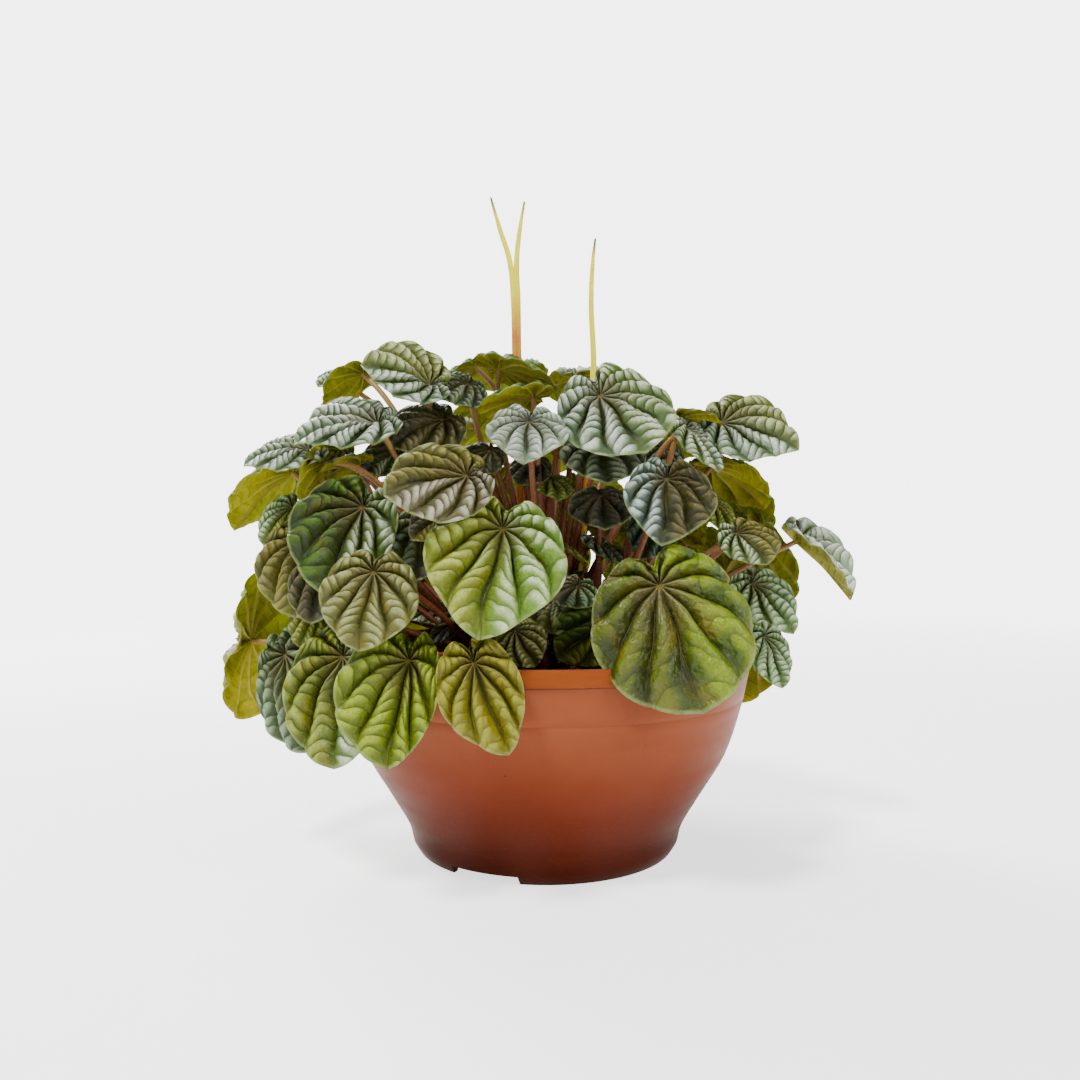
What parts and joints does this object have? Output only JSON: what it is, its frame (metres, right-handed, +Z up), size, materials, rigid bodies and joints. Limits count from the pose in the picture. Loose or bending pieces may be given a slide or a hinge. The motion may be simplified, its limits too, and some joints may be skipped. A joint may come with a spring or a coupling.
{
  "type": "potted peperomia",
  "caption": "Bushy house plant with rippled heart-shaped leaves on reddish stalks and thin flower spikes, in a low round plastic pot with a wide rim.",
  "frame": {"origin": "on the surface that the pot stands on, under the pot's middle", "axes": "+Z up, -Y towards the front with the biggest hanging leaves, +X to the right seen from the front"},
  "size_m": [0.2774, 0.2084, 0.2902],
  "materials": {
    "pot": "satin terracotta-coloured moulded plastic",
    "soil": "dark crumbly potting soil",
    "leaf": "satin rippled leaf, silvery ridges over dark green grooves",
    "spike": "matte fleshy flower spike, finely dotted",
    "stalk": "satin reddish leaf stalk"
  },
  "bodies": {
    "root": {"pot": "pot", "soil": "soil", "plantlet_centre": "leaf", "plantlet_front": "leaf", "plantlet_front_right": "leaf", "plantlet_back_right": "leaf", "plantlet_back": "leaf", "plantlet_back_left": "leaf", "plantlet_front_left": "leaf", "flower_spike_left": "spike", "flower_spike_right": "spike"}
  },
  "joints": []
}
